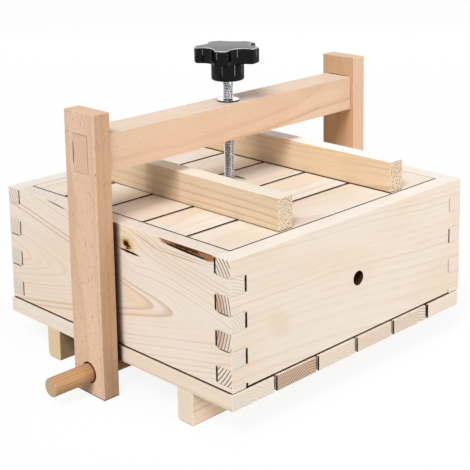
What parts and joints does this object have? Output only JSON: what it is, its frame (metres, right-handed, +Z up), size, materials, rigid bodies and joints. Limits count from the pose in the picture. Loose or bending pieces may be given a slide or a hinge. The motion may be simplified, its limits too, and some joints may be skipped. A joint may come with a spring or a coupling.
{
  "type": "wooden tofu press",
  "caption": "Wooden tofu press: finger-jointed mould box on a slatted floor, slatted lid with cleats, and a bar frame with a star-knob screw, pinned under the floor by a dowel.",
  "frame": {"origin": "on the table, under the middle of the slatted floor and of the press frame", "axes": "+Z up, +X along the long front wall and the crossbar, -Y out of the wall with the drain hole"},
  "size_m": [0.352, 0.244, 0.2322],
  "materials": {
    "mould_box": "matte, unvarnished pale pine",
    "floor": "matte, unvarnished pale pine",
    "lid": "matte, unvarnished pale pine",
    "frame": "matte, unvarnished beech",
    "dowel": "matte, turned hardwood",
    "insert": "zinc plated",
    "rod": "zinc plated thread",
    "knob": "glossy black"
  },
  "bodies": {
    "base": {"floor_slat_1": "floor", "floor_slat_2": "floor", "floor_slat_3": "floor", "floor_slat_4": "floor", "floor_slat_5": "floor", "floor_slat_6": "floor", "batten_front": "floor", "batten_rear": "floor", "upright_left": "frame", "upright_right": "frame", "crossbar": "frame", "threaded_insert": "insert"},
    "mould_box": {"wall_front": "mould_box", "wall_back": "mould_box", "wall_left": "mould_box", "wall_right": "mould_box"},
    "lid": {"lid_slat_1": "lid", "lid_slat_2": "lid", "lid_slat_3": "lid", "lid_slat_4": "lid", "lid_slat_5": "lid", "cleat_left": "lid", "cleat_right": "lid"},
    "screw": {"screw_rod": "rod", "star_knob": "knob"},
    "locking_dowel": {"dowel": "dowel"}
  },
  "joints": [
    {"name": "box_lift", "type": "slide", "parent": "base", "child": "mould_box", "axis": [0, 0, 1], "range_m": [0, 0.036]},
    {"name": "lid_press", "type": "slide", "parent": "base", "child": "lid", "axis": [0, 0, -1], "range_m": [0, 0.015]},
    {"name": "screw_turn", "type": "hinge", "parent": "lid", "child": "screw", "pos_m": [0, 0.0025, 0.2], "axis": [0, 0, -1], "range_deg": [0, 4322]},
    {"name": "dowel_draw", "type": "slide", "parent": "base", "child": "locking_dowel", "axis": [-1, 0, 0], "range_m": [-0.32, 0.32]}
  ],
  "couplings": [
    {"joint": "screw_turn", "follows": "lid_press", "rad_per_m": 5026.5}
  ]
}
